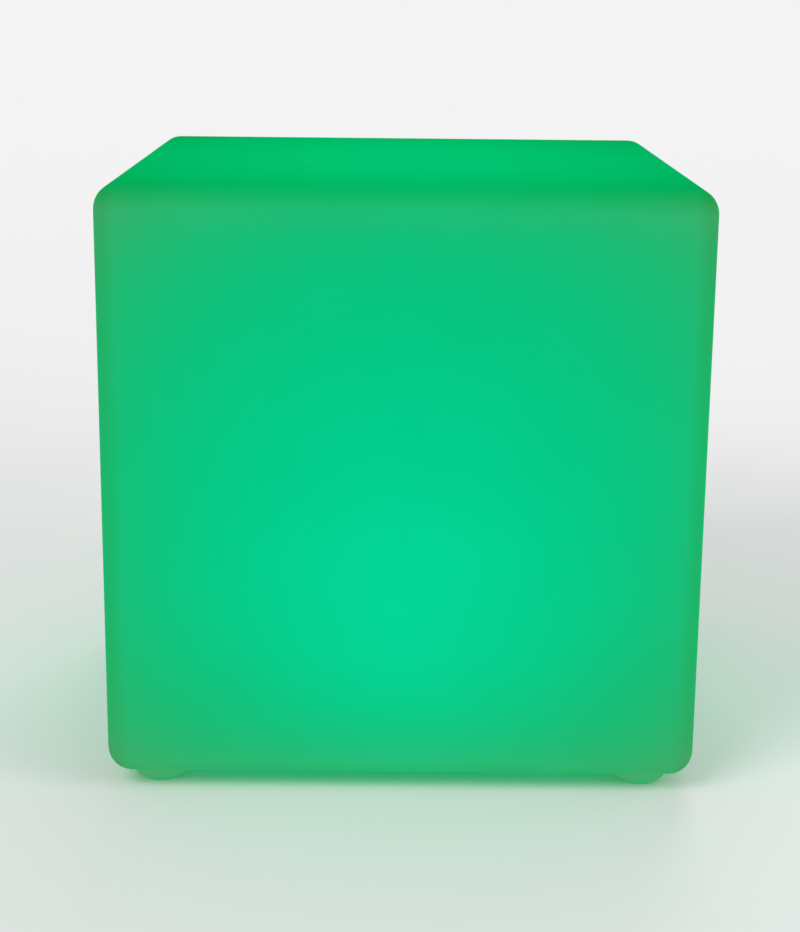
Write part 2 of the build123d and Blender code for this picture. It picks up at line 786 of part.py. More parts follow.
with BuildPart() as capacitors:
    with BuildSketch(Plane.XY.offset(board_top)):
        with Locations(*capacitor_places):
            Circle(capacitor_size[0])
    extrude(amount=capacitor_size[1])
    fillet(capacitors.edges().group_by(Axis.Z)[-1], radius=capacitor_size[2])
capacitors.part.label = "capacitors"
export_step(capacitors.part, "parts/capacitors.step")

with BuildPart() as lead_connectors:
    with BuildSketch(Plane.XY.offset(board_top)):
        for x, y, along_x, along_y in (battery_plug, socket_plug, light_plug):
            with Locations((x, y)):
                RectangleRounded(along_x, along_y, connector_corner)
    extrude(amount=connector_height)
lead_connectors.part.label = "lead_connectors"
export_step(lead_connectors.part, "parts/lead_connectors.step")

with BuildPart() as charge_indicator:
    with BuildSketch(Plane.XY.offset(board_bottom - indicator_size[2])):
        with Locations((pipe_x, control_y)):
            Rectangle(indicator_size[0], indicator_size[1])
    extrude(amount=indicator_size[2])
charge_indicator.part.label = "charge_indicator"
export_step(charge_indicator.part, "parts/charge_indicator.step")

# ---- light pipe from the indicator to the underside ----
pipe_top = board_bottom - indicator_size[2] - indicator_gap
with BuildPart() as charge_light_pipe:
    with BuildSketch(Plane.XY.offset(control_floor - pipe_proud)):
        with Locations((pipe_x, control_y)):
            Circle(pipe_radius)
    extrude(amount=pipe_top - control_floor + pipe_proud)
    fillet(charge_light_pipe.edges().group_by(Axis.Z)[0], radius=pipe_edge_radius)
    with BuildSketch(Plane.XY.offset(flange_top)):
        with Locations((pipe_x, control_y)):
            Circle(pipe_collar[0])
    extrude(amount=pipe_collar[1])
charge_light_pipe.part.label = "charge_light_pipe"
export_step(charge_light_pipe.part, "parts/charge_light_pipe.step")

# ---- power button: cap, collar that keeps it in, and the hub that presses the switch ----
button_face = control_floor - button_proud
button_seal_bottom = control_floor + button_seal_rise
button_plane = Plane(origin=(button_x, control_y, 0))
with BuildPart() as power_button:
    with BuildSketch(button_plane.offset(button_face)):
        Circle(button_radius)
    extrude(amount=collar_bottom - button_face)
    fillet(power_button.edges().group_by(Axis.Z)[0], radius=button_edge_radius)
    with BuildSketch(button_plane.offset(collar_bottom)):
        Circle(button_collar[0])
    extrude(amount=button_collar[1])
    with BuildSketch(button_plane.offset(collar_top)):
        Circle(button_hub_radius)
    extrude(amount=plunger_bottom - collar_top)
    with BuildSketch(button_plane.offset(button_seal_bottom - seal_play)):
        Circle(button_collar[0])
        Circle(button_seal_inner, mode=Mode.SUBTRACT)
    extrude(amount=button_seal_thick + 2 * seal_play, mode=Mode.SUBTRACT)
    # the usual sign for a switch, an open ring with a bar
    with BuildSketch(button_plane.offset(button_face)):
        Circle(sign_ring[0])
        Circle(sign_ring[1], mode=Mode.SUBTRACT)
        with Locations((0, sum(sign_ring) / 2)):
            Rectangle(sign_gap, sign_gap, mode=Mode.SUBTRACT)
        with Locations((0, sign_bar[2])):
            Rectangle(sign_bar[0], sign_bar[1])
    extrude(amount=sign_depth, mode=Mode.SUBTRACT)
power_button.part.label = "power_button"
export_step(power_button.part, "parts/power_button.step")

with BuildPart() as button_seal:
    with BuildSketch(button_plane.offset(button_seal_bottom)):
        Circle(button_seal_outer)
        Circle(button_seal_inner, mode=Mode.SUBTRACT)
    extrude(amount=button_seal_thick)
    seal_edges = button_seal.edges().filter_by(GeomType.CIRCLE)
    fillet(seal_edges.sort_by(SortBy.RADIUS)[-2:], radius=button_seal_edge)
button_seal.part.label = "button_seal"
export_step(button_seal.part, "parts/button_seal.step")

# ---- push switch under the control board: body, plunger and return spring ----
with BuildPart() as switch_body:
    with BuildSketch(button_plane.offset(switch_bottom)):
        RectangleRounded(switch_size, switch_size, switch_corner)
    extrude(amount=switch_height)
    with BuildSketch(button_plane.offset(switch_bottom + switch_wall)):
        Circle(switch_bore_radius)
    extrude(amount=spring_roof - switch_bottom - switch_wall, mode=Mode.SUBTRACT)
    with BuildSketch(button_plane.offset(switch_bottom)):
        Circle(plunger_radius + plunger_play)
    extrude(amount=switch_wall, mode=Mode.SUBTRACT)
switch_body.part.label = "switch_body"
export_step(switch_body.part, "parts/switch_body.step")

stub_height = spring_roof - plunger_flange_top - 2 * button_travel
with BuildPart() as switch_plunger:
    with BuildSketch(button_plane.offset(plunger_bottom)):
        Circle(plunger_radius)
    extrude(amount=plunger_flange_bottom - plunger_bottom)
    with BuildSketch(button_plane.offset(plunger_flange_bottom)):
        Circle(plunger_flange[0])
    extrude(amount=plunger_flange[1])
    with BuildSketch(button_plane.offset(plunger_flange_top)):
        Circle(plunger_stub_radius)
    extrude(amount=stub_height)
switch_plunger.part.label = "switch_plunger"
export_step(switch_plunger.part, "parts/switch_plunger.step")

spring_bottom = plunger_flange_top + spring_wire_radius
spring_height = spring_roof - spring_wire_radius - spring_bottom
spring_foot = (button_x, control_y, spring_bottom)
with BuildPart() as switch_spring:
    with BuildLine() as coil:
        Helix(
            pitch=spring_height / spring_turns,
            height=spring_height,
            radius=spring_radius,
            center=spring_foot,
        )
    with BuildSketch(Plane(origin=coil.line @ 0, z_dir=coil.line % 0)):
        Circle(spring_wire_radius)
    sweep(path=coil.line, is_frenet=True)
switch_spring.part.label = "switch_spring"
export_step(switch_spring.part, "parts/switch_spring.step")

# ---- charging socket: body, centre pin, solder tabs, washer and nut ----
socket_plane = Plane(origin=(socket_x, control_y, 0))
with BuildPart() as charge_socket:
    with BuildSketch(socket_plane.offset(socket_face)):
        Circle(socket_flange_radius)
    extrude(amount=socket_flange_thick)
    fillet(charge_socket.edges().group_by(Axis.Z)[0], radius=socket_edge_radius)
    with BuildSketch(socket_plane.offset(control_floor)):
        Circle(socket_radius)
    extrude(amount=socket_length)
    with BuildSketch(socket_plane.offset(socket_face)):
        Circle(socket_mouth_radius)
    extrude(amount=socket_mouth_depth, mode=Mode.SUBTRACT)
    with BuildSketch(socket_plane.offset(socket_face)):
        Circle(socket_bore_radius)
    extrude(amount=socket_bore_depth, mode=Mode.SUBTRACT)
    with BuildSketch(socket_plane.offset(socket_face)):
        Circle(socket_pin_radius)
    extrude(amount=socket_rear - socket_face, mode=Mode.SUBTRACT)
charge_socket.part.label = "charge_socket"
export_step(charge_socket.part, "parts/charge_socket.step")

pin_tip = socket_face + socket_mouth_depth + socket_pin_recess
pin_length = socket_length + socket_flange_thick - socket_mouth_depth
with BuildPart() as socket_pin:
    with BuildSketch(socket_plane.offset(pin_tip)):
        Circle(socket_pin_radius)
    extrude(amount=pin_length)
    fillet(socket_pin.edges().group_by(Axis.Z)[0], radius=socket_edge_radius)
socket_pin.part.label = "socket_pin"
export_step(socket_pin.part, "parts/socket_pin.step")

with BuildPart() as socket_tabs:
    with BuildSketch(socket_plane.offset(socket_rear)):
        with Locations((-solder_tab_offset, 0), (solder_tab_offset, 0)):
            Rectangle(solder_tab[0], solder_tab[1])
    extrude(amount=solder_tab[2])
socket_tabs.part.label = "socket_tabs"
export_step(socket_tabs.part, "parts/socket_tabs.step")

with BuildPart() as socket_washer:
    with BuildSketch(socket_plane.offset(flange_top)):
        Circle(socket_radius + washer_width)
        Circle(socket_radius + socket_play, mode=Mode.SUBTRACT)
    extrude(amount=washer_thick)
socket_washer.part.label = "socket_washer"
export_step(socket_washer.part, "parts/socket_washer.step")

with BuildPart() as socket_nut:
    with BuildSketch(socket_plane.offset(flange_top + washer_thick)):
        RegularPolygon(radius=nut_across_flats / 2, side_count=6, major_radius=False)
        Circle(socket_radius + thread_gap, mode=Mode.SUBTRACT)
    extrude(amount=nut_thick)
socket_nut.part.label = "socket_nut"
export_step(socket_nut.part, "parts/socket_nut.step")

# ---- rubber cap of the socket, with its half of the strap, and the anchored half ----
cap_reach = hinge_x - strap_gap - socket_x
with BuildPart() as charge_port_cap:
    with BuildSketch(socket_plane.offset(cap_bottom)):
        Circle(cap_plate_radius)
        with Locations((-cap_plate_radius, 0)):
            SlotOverall(cap_pull_tab[0], cap_pull_tab[1])
        with Locations((cap_reach / 2, 0)):
            Rectangle(cap_reach, strap_width)
    extrude(amount=cap_thick)
    fillet(charge_port_cap.edges().group_by(Axis.Z)[0], radius=cap_edge_radius)
    with BuildSketch(socket_plane.offset(cap_top)):
        Circle(cap_stem_radius)
    extrude(amount=cap_stem_height)
    fillet(charge_port_cap.edges().group_by(Axis.Z)[-1], radius=cap_stem_edge)
charge_port_cap.part.label = "charge_port_cap"
export_step(charge_port_cap.part, "parts/charge_port_cap.step")

anchor_plane = Plane(origin=(anchor_x, control_y, 0))
anchor_reach = anchor_x - hinge_x - strap_gap
with BuildPart() as cap_anchor:
    with BuildSketch(anchor_plane.offset(cap_bottom)):
        Circle(anchor_pad_radius)
        with Locations((-anchor_reach / 2, 0)):
            Rectangle(anchor_reach, strap_width)
    extrude(amount=cap_thick)
    fillet(cap_anchor.edges().group_by(Axis.Z)[0], radius=cap_edge_radius)
    with BuildSketch(anchor_plane.offset(cap_top)):
        Circle(anchor_pad_radius)
    extrude(amount=control_floor - cap_top)
    with BuildSketch(anchor_plane.offset(control_floor)):
        Circle(anchor_post_radius)
    extrude(amount=flange_top - control_floor + anchor_gap)
    with BuildSketch(anchor_plane.offset(flange_top + anchor_gap)):
        Circle(anchor_head[0])
    extrude(amount=anchor_head[1])
    fillet(cap_anchor.edges().group_by(Axis.Z)[-1], radius=anchor_head[2])
cap_anchor.part.label = "cap_anchor"
export_step(cap_anchor.part, "parts/cap_anchor.step")

# ---- wires: battery to board, socket to board, board to light board ----
pack_board_end = pack_board[0] / 2
battery_plug_face = battery_plug[0] + battery_plug[2] / 2
battery_red = lead(
    [
        (pack_board_end, 24.9, 35.5),
        (35.5, 24.9, 35.5),
        (39.0, 14.0, 34.8),
        (37.0, -4.0, 33.6),
        (24.0, -18.0, 33.3),
        (battery_plug_face, -18.0, 33.3),
    ],
    power_lead_radius,
)
battery_black = lead(
    [
        (pack_board_end, 28.1, 35.5),
        (38.0, 28.1, 35.6),
        (42.3, 15.0, 35.4),
        (40.5, -5.0, 35.2),
        (27.0, -21.5, 34.4),
        (battery_plug_face, -21.5, 34.4),
    ],
    power_lead_radius,
)
with BuildPart() as battery_leads:
    add(battery_red)
    add(battery_black)
battery_leads.part.label = "battery_leads"
export_step(battery_leads.part, "parts/battery_leads.step")

solder_tab_top = socket_rear + solder_tab[2]
socket_plug_face = socket_plug[0] + socket_plug[2] / 2
socket_red = lead(
    [
        (socket_x - solder_tab_offset, control_y, solder_tab_top),
        (socket_x - solder_tab_offset, control_y, 34.0),
        (socket_plug_face, control_y, 34.0),
    ],
    power_lead_radius,
)
socket_black = lead(
    [
        (socket_x + solder_tab_offset, control_y, solder_tab_top),
        (socket_x + solder_tab_offset, control_y, 34.6),
        (20.5, control_y - 3.2, 34.6),
        (socket_plug_face, control_y - 3.2, 34.6),
    ],
    power_lead_radius,
)
with BuildPart() as socket_leads:
    add(socket_red)
    add(socket_black)
socket_leads.part.label = "socket_leads"
export_step(socket_leads.part, "parts/socket_leads.step")

light_plug_face = light_plug[1] - light_plug[3] / 2
light_wires = [
    lead(
        [
            (x, light_plug_face, 33.5),
            (x, -47.2, 33.5),
            (x, -47.6, 41.5),
            (x, -46.6, 50.0),
            (x, -41.8, led_board_top + signal_lead_radius + wire_gap),
        ],
        signal_lead_radius,
    )
    for x in light_wire_xs
]
with BuildPart() as led_leads:
    for wire in light_wires:
        add(wire)
led_leads.part.label = "led_leads"
export_step(led_leads.part, "parts/led_leads.step")
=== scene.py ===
import json
import math

import bpy
from mathutils import Matrix, Vector


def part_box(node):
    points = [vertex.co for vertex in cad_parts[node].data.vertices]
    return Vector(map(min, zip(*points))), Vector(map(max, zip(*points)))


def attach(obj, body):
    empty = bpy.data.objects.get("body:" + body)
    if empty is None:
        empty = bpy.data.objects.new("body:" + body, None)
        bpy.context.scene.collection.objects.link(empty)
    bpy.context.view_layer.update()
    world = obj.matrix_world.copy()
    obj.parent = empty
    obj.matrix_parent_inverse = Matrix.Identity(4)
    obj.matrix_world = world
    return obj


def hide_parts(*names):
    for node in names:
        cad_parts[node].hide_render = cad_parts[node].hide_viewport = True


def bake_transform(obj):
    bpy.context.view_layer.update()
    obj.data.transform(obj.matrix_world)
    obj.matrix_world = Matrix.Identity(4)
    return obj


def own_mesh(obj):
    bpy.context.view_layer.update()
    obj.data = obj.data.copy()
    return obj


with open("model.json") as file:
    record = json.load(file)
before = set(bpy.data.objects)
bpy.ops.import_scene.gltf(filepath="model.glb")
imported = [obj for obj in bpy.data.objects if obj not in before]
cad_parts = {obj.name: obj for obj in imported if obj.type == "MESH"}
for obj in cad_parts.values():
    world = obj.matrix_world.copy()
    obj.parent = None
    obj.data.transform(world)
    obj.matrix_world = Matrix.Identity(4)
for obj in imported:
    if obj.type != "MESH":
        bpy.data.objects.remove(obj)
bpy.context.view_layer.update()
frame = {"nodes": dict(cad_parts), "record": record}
nodes = frame["nodes"]
mm = 0.001
print("frame loaded:", len(nodes), "nodes")


class Val:  # a value on its way between nodes, so that a pattern reads as an expression
    def __init__(self, tree, socket):
        self.tree = tree
        self.socket = socket

    def calc(self, operation, *others):
        return self.tree.node("ShaderNodeMath", {"operation": operation}, dict(enumerate((self, *others))))

    def __add__(self, other):
        return self.calc("ADD", other)

    def __radd__(self, other):
        return self.calc("ADD", other)

    def __sub__(self, other):
        return self.calc("SUBTRACT", other)

    def __rsub__(self, other):
        return self.calc("MULTIPLY_ADD", -1.0, other)

    def __mul__(self, other):
        return self.calc("MULTIPLY", other)

    def __rmul__(self, other):
        return self.calc("MULTIPLY", other)

    def __truediv__(self, other):
        return self.calc("DIVIDE", other)

    def __pow__(self, other):
        return self.calc("POWER", other)

    def __abs__(self):
        return self.calc("ABSOLUTE")

    def above(self, floor):
        return self.calc("MAXIMUM", floor)

    def below(self, ceiling):
        return self.calc("MINIMUM", ceiling)

    def rise(self, start, end):  # 0 before start, 1 after end, smooth between them
        return self.tree.node("ShaderNodeMapRange", {"interpolation_type": "SMOOTHSTEP"},
                              {"Value": self, "From Min": start, "From Max": end})


class Tree:  # the nodes of one material, or of the world, while they are made
    def __init__(self, owner):
        owner.use_nodes = True
        self.owner = owner
        self.nodes = owner.node_tree.nodes
        self.links = owner.node_tree.links
        self.nodes.clear()

    def node(self, kind, settings=None, sockets=None, out=0):
        made = self.nodes.new(kind)
        for name, value in (settings or {}).items():
            if name == "stops":
                self.setStops(made.color_ramp, value)
            else:
                setattr(made, name, value)
        for name, value in (sockets or {}).items():
            self.feed(made.inputs[name], value)
        return Val(self, made.outputs[out]) if made.outputs else made

    def feed(self, socket, value):
        if isinstance(value, Val):
            self.links.new(value.socket, socket)
        elif socket.type == "RGBA":
            socket.default_value = (*value, 1.0)
        else:
            socket.default_value = value

    def setStops(self, ramp, colours):  # each colour holds up to where the next one starts
        ramp.interpolation = "CONSTANT"
        while len(ramp.elements) < len(colours):
            ramp.elements.new(1.0)
        for i, (element, colour) in enumerate(zip(ramp.elements, colours)):
            element.position = i / len(colours)
            element.color = (*colour, 1.0)

    def parts(self, vector):
        split = self.node("ShaderNodeSeparateXYZ", sockets={0: vector}).socket.node
        return [Val(self, part) for part in split.outputs]

    def vector(self, operation, *values):
        return self.node("ShaderNodeVectorMath", {"operation": operation}, dict(enumerate(values)))

    def mix(self, factor, first, second):
        return self.node("ShaderNodeMix", {"data_type": "RGBA"}, {0: factor, 6: first, 7: second}, out=2)

    def seen(self):  # 1 for rays that show the background: to the eye, in a mirror, through plastic
        rays = [self.node("ShaderNodeLightPath", out="Is " + kind + " Ray")
                for kind in ("Camera", "Glossy", "Transmission")]
        return rays[0].above(rays[1]).above(rays[2])


class Finish(Tree):  # a material whose patterns lie in the lamp's own frame, in metres
    def __init__(self, name):
        super().__init__(bpy.data.materials.new(name))
        self.place = self.node("ShaderNodeTexCoord", out="Object")
        self.x, self.y, self.z = self.parts(self.place)
        self.nx, self.ny, self.nz = self.parts(self.node("ShaderNodeTexCoord", out="Normal"))

    def noise(self, size, detail=3.0, stretch=(1, 1, 1)):  # size is a bump's width in metres
        return self.node("ShaderNodeTexNoise", sockets={
            "Vector": self.vector("MULTIPLY", self.place, stretch), "Scale": 1 / size, "Detail": detail})

    def cells(self, size):
        return self.node("ShaderNodeTexVoronoi", sockets={"Vector": self.place, "Scale": 1 / size})

    def bump(self, height, depth):
        return self.node("ShaderNodeBump", sockets={"Height": height, "Distance": depth})

    def around(self, count, radius, start=0.0):  # place seen from the nearest of the copies on a ring
        turn = 2 * math.pi / count
        angle = self.y.calc("ARCTAN2", self.x) - start
        off = angle - (angle / turn).calc("ROUND") * turn
        far = length(self.x, self.y)
        return far * off.calc("COSINE") - radius, far * off.calc("SINE")

    def surface(self, sockets):
        if "Emission Color" in sockets:
            self.owner.cycles.emission_sampling = "NONE"  # slivers of a sampled light make bright specks
        shader = self.node("ShaderNodeBsdfPrincipled", sockets=sockets)
        self.node("ShaderNodeOutputMaterial", sockets={"Surface": shader})
        return self.owner


def length(across, along):
    return (across * across + along * along) ** 0.5


def union(shapes):
    whole = shapes[0]
    for shape in shapes[1:]:
        whole = whole.above(shape)
    return whole


# glowing body: the light module stands in the floor of the cube and shines upwards, so the walls are
# brightest above it, and darker and greener where the light crosses more plastic on its way out
glow = {
    "size": 0.4, "bottom": 0.011,
    "sourceDepth": 0.06, "beam": 1.5, "peak": 0.955,  # the source lies under the floor, in cube sizes
    "edgeReach": 0.15, "closeReach": 0.04, "footEdge": 0.4 * mm, "outward": 0.02,
    "roundingPower": 1.5, "roundingEase": 0.5,  # how sharply a rounding darkens, how much less near the floor
    "bounced": (0.0, 0.43, 0.135), "straight": (0.0, 0.19, 0.15), "toUnderside": 0.3,
    "wall": (1.0, 0.91, 0.78), "roof": (1.0, 0.82, 0.49),  # share that one more wall or the roof passes
    "paintedRoomLight": (0.03, 0.0, 0.02),  # painted room light that the milky plastic gives back, but not on the roof
    # the base and shade colours are painted glow: a dark green that stands in for the inner light, in place
    # of the plastic's own milky white; shade is its random mottle
    "paintedGlowTint": (0.0005, 0.070, 0.040), "shade": (0.0004, 0.056, 0.032), "roughness": (0.44, 0.54),
    "cloud": 55 * mm, "cloudDepth": 0.035, "satin": 20 * mm, "grain": 1.4 * mm, "grainDepth": 0.02 * mm,
}
# walls of plastic that the light crosses beyond the first (on the upright roundings partly painted shade),
# and how much painted room light a place gets
extraWalls = {"edges": 1.0, "corners": 1.0, "closeToTop": 0.5, "uprightRounding": 1.9,
              "topRounding": 0.4, "lowRounding": 0.9, "cornerBalls": 1.0}
paintedRoomLightPlaces = {"edges": 0.1, "corners": 1.1, "closeToSides": 0.3, "closeToTop": 0.8, "closeToFloor": 1.2}


def weigh(shapes, amounts):
    whole = 0.0
    for name, amount in amounts.items():
        whole = whole + shapes[name] * amount
    return whole


def glowFinish():
    f = Finish("glowing polyethylene")
    x = f.x / glow["size"]
    y = f.y / glow["size"]
    z = (f.z - glow["bottom"]) / glow["size"]
    rise = z + glow["sourceDepth"]
    far = (x * x + y * y + rise * rise) ** 0.5
    facing = (x * f.nx + y * f.ny + rise * f.nz).above(0.0)
    fromSource = (rise.above(0.0) / far) ** glow["beam"] * facing / far ** 3 / glow["peak"]

    def near(distance, reach):
        return (distance * (-1 / glow[reach])).calc("EXPONENT")

    fromX, fromY, fromTop = 0.5 - abs(x), 0.5 - abs(y), 1.0 - z
    fromFloor = z.above(0.0)
    onBody = f.z.rise(glow["bottom"] - glow["footEdge"], glow["bottom"])  # 0 on the feet
    outer = (x * f.nx + y * f.ny).rise(0.0, glow["outward"]).above(1.0 - onBody)  # 0 in the module's recess
    alongX, alongY, alongZ = f.nx * f.nx, f.ny * f.ny, f.nz * f.nz
    upright = (alongX + alongY) * outer
    top = f.nz.above(0.0)
    under = (f.nz * -1.0).above(0.0) * onBody
    edgeX, edgeY = near(fromX, "edgeReach"), near(fromY, "edgeReach")
    edgeFloor = near(fromFloor, "edgeReach")
    sideEdges = edgeX * (alongY + alongZ) + edgeY * alongX
    crossEdges = (edgeFloor + near(fromTop, "edgeReach")) * upright + edgeY * alongZ
    # each shape is 1 where it is strongest: the factors 2, 4 and 27 bring the roundings there
    rounding = abs(f.nx * f.ny) * onBody * outer * 2.0
    shapes = {
        "edges": sideEdges + crossEdges,
        "corners": sideEdges * crossEdges,
        "closeToSides": near(fromX, "closeReach") * alongY + near(fromY, "closeReach") * alongX,
        "closeToTop": near(fromTop, "closeReach") * upright,
        "closeToFloor": near(fromFloor, "closeReach") * upright,
        # the upright roundings darken partly by light lost in thicker plastic and partly by painted shade for
        # the glow's dimmer look at a slant
        "uprightRounding": rounding ** glow["roundingPower"] * (1.0 - edgeFloor * glow["roundingEase"]),
        "topRounding": top * top * upright * 4.0,
        "lowRounding": under * under * upright * 4.0,
        "cornerBalls": alongX * alongY * alongZ * onBody * 27.0,
    }
    inside = f.vector("MULTIPLY_ADD", fromSource + under * glow["toUnderside"], glow["straight"],
                      glow["bounced"])
    passed = f.vector("MULTIPLY", f.vector("POWER", glow["wall"], weigh(shapes, extraWalls)),
                      f.vector("POWER", glow["roof"], top))
    # painted room light near edges, corners and floor, added to the glow that passed the plastic
    light = f.vector("MULTIPLY_ADD", weigh(shapes, paintedRoomLightPlaces) * (1.0 - top), glow["paintedRoomLight"],
                     f.vector("MULTIPLY", inside, passed))
    cloud = f.noise(glow["cloud"])
    level = 1.0 + (cloud - 0.5) * glow["cloudDepth"]
    low, high = glow["roughness"]
    return f.surface({
        # painted glow tint, mottled at random
        "Base Color": f.mix(cloud, glow["shade"], glow["paintedGlowTint"]),
        "Roughness": low + f.noise(glow["satin"]) * (high - low),
        "Specular IOR Level": 0.0,
        "Emission Color": f.vector("MULTIPLY", light, level),
        "Emission Strength": 1.0,
        "Normal": f.bump(f.noise(glow["grain"]), glow["grainDepth"]),
    })


# plain moulded plastics: colour, its painted shade in the hollows of the texture, texture width and depth
plastics = {
    "black nylon": {"colour": (0.030, 0.030, 0.032), "shade": (0.018, 0.018, 0.019),
                    "grain": 0.35 * mm, "depth": 0.02 * mm, "roughness": (0.38, 0.5)},
    "natural nylon": {"colour": (0.74, 0.71, 0.62), "shade": (0.62, 0.58, 0.48),
                      "grain": 0.5 * mm, "depth": 0.012 * mm, "roughness": (0.33, 0.45)},
    "dark epoxy": {"colour": (0.032, 0.032, 0.036), "shade": (0.015, 0.015, 0.017),
                   "grain": 0.18 * mm, "depth": 0.012 * mm, "roughness": (0.5, 0.66)},
}
plasticCloud = {"size": 6 * mm, "share": 0.4}


def plasticFinish(name):
    look = plastics[name]
    f = Finish(name)
    grain = f.noise(look["grain"])
    cloud = f.noise(plasticCloud["size"])
    # painted shade in the hollows of the grain, and random tone from the cloud
    hollowShadeAndTone = grain * (1 - plasticCloud["share"]) + cloud * plasticCloud["share"]
    low, high = look["roughness"]
    return f.surface({
        "Base Color": f.mix(hollowShadeAndTone, look["shade"], look["colour"]),
        "Roughness": low + cloud * (high - low),
        "Normal": f.bump(grain, look["depth"]),
    })


# housing of the light module: spark-textured plastic with faint ejector marks on its flange and painted shade
# in the hollows of its texture
housing = {
    "colour": (0.60, 0.61, 0.60), "shade": (0.50, 0.51, 0.50), "grain": 0.45 * mm, "depth": 0.035 * mm,
    "cloud": 25 * mm, "ejectors": 12, "ejectorRing": 66 * mm, "ejectorRadius": 2.5 * mm, "line": 0.12 * mm,
    "scuff": 4 * mm, "scuffStretch": (1, 0.15, 1), "scuffFrom": (0.62, 0.75), "rubbed": 0.08,
    "grainShare": 0.5, "specular": 0.4, "roughness": (0.46, 0.58),
}


def housingFinish():
    f = Finish("textured module plastic")
    grain = f.noise(housing["grain"])
    cloud = f.noise(housing["cloud"])
    across, along = f.around(housing["ejectors"], housing["ejectorRing"])
    mark = abs(length(across, along) - housing["ejectorRadius"]).rise(0.0, housing["line"])
    scuff = f.noise(housing["scuff"], stretch=housing["scuffStretch"]).rise(*housing["scuffFrom"])
    texture = grain * housing["grainShare"]
    # painted shade in the hollows of the texture, and random tone from the cloud
    hollowShadeAndTone = texture + cloud * (1 - housing["grainShare"])
    low, high = housing["roughness"]
    return f.surface({
        "Base Color": f.mix(hollowShadeAndTone, housing["shade"], housing["colour"]),
        "Roughness": low + cloud * (high - low) - scuff * housing["rubbed"],
        "Specular IOR Level": housing["specular"],
        "Normal": f.bump(texture + mark, housing["depth"]),
    })


# rubbers and silicones: colour, dusted colour, grain
rubbers = {
    "black rubber": {"colour": (0.022, 0.022, 0.023), "dust": (0.06, 0.06, 0.062),
                     "grain": 0.5 * mm, "depth": 0.03 * mm, "roughness": (0.7, 0.85)},
    "red silicone": {"colour": (0.42, 0.05, 0.03), "dust": (0.5, 0.1, 0.07),
                     "grain": 0.4 * mm, "depth": 0.015 * mm, "roughness": (0.42, 0.55)},
    "grey silicone": {"colour": (0.085, 0.087, 0.09), "dust": (0.15, 0.152, 0.155),
                      "grain": 0.3 * mm, "depth": 0.015 * mm, "roughness": (0.5, 0.64)},
}
rubberSkin = {"dust": 3 * mm, "dustFrom": (0.45, 0.8), "dustCover": 0.5, "specular": 0.35}


def rubberFinish(name):
    look = rubbers[name]
    f = Finish(name)
    dusty = f.noise(rubberSkin["dust"]).rise(*rubberSkin["dustFrom"])
    low, high = look["roughness"]
    return f.surface({
        "Base Color": f.mix(dusty * rubberSkin["dustCover"], look["colour"], look["dust"]),
        "Roughness": low + dusty * (high - low),
        "Specular IOR Level": rubberSkin["specular"],
        "Normal": f.bump(f.noise(look["grain"]), look["depth"]),
    })


# power button: rubber, rubbed in its middle, with a pale sign in its engraving
button = {
    "middle": (-24 * mm, -30 * mm), "face": 13.7 * mm, "engraved": 0.12 * mm,
    "signRadius": 2.9 * mm, "signEdge": 0.1 * mm, "rubbedRadius": 5 * mm, "rub": 1.5 * mm,
    "facing": (0.5, 0.9),
    "colour": (0.055, 0.056, 0.06), "worn": (0.10, 0.10, 0.105), "sign": (0.72, 0.74, 0.73),
    "grain": 0.25 * mm, "depth": 0.012 * mm, "roughness": 0.58, "polish": 0.12,
}


def buttonFinish():
    f = Finish("button rubber")
    x, y = button["middle"]
    out = length(f.x - x, f.y - y)
    faceOn = (f.nz * -1.0).rise(*button["facing"])
    sunk = f.z.rise(button["face"] + 0.5 * button["engraved"], button["face"] + button["engraved"])
    sign = sunk * faceOn * out.rise(button["signRadius"], button["signRadius"] - button["signEdge"])
    rubbed = out.rise(button["rubbedRadius"], 0.0) * f.noise(button["rub"])
    body = f.mix(rubbed, button["colour"], button["worn"])
    return f.surface({
        "Base Color": f.mix(sign, body, button["sign"]),
        "Roughness": button["roughness"] - rubbed * button["polish"],
        "Normal": f.bump(f.noise(button["grain"]), button["depth"]),
    })


# clear polycarbonate of the dome and the light pipe, with hairline scratches
clear = {
    "colour": (0.96, 0.98, 0.97), "shade": (0.92, 0.96, 0.95), "cloud": 30 * mm, "roughness": (0.02, 0.10),
    "scratch": 0.6 * mm, "scratchStretch": (1, 0.05, 1), "scratchFrom": (0.6, 0.72),
    "wave": 8 * mm, "waveDepth": 0.01 * mm, "ior": 1.58, "transmission": 0.95,
}


def clearFinish():
    f = Finish("clear polycarbonate")
    scratch = f.noise(clear["scratch"], stretch=clear["scratchStretch"]).rise(*clear["scratchFrom"])
    low, high = clear["roughness"]
    return f.surface({
        "Base Color": f.mix(f.noise(clear["cloud"]), clear["colour"], clear["shade"]),
        "Roughness": low + scratch * (high - low),
        "IOR": clear["ior"],
        "Transmission Weight": clear["transmission"],
        "Normal": f.bump(f.noise(clear["wave"]), clear["waveDepth"]),
    })


# metals: colour, tarnish, stretch of the drawn or brushed lines, depth of the relief
metals = {
    "knurled brass": {"colour": (0.74, 0.53, 0.22), "tarnish": (0.50, 0.33, 0.12),
                      "lines": (1, 1, 1), "roughness": (0.28, 0.42), "depth": 0.15 * mm},
    "nickel plate": {"colour": (0.70, 0.68, 0.62), "tarnish": (0.55, 0.52, 0.46),
                     "lines": (0.08, 1, 1), "roughness": (0.22, 0.36), "depth": 0.01 * mm},
    "spring steel": {"colour": (0.58, 0.58, 0.57), "tarnish": (0.36, 0.35, 0.34),
                     "lines": (1, 1, 0.1), "roughness": (0.24, 0.4), "depth": 0.01 * mm},
}
brush = {"width": 0.5 * mm, "share": 0.3, "stain": 5 * mm, "stainFrom": (0.5, 0.85)}
knurls = {"count": 6, "ring": 80 * mm, "teeth": 14, "lead": 9000.0}  # lead in radians per metre


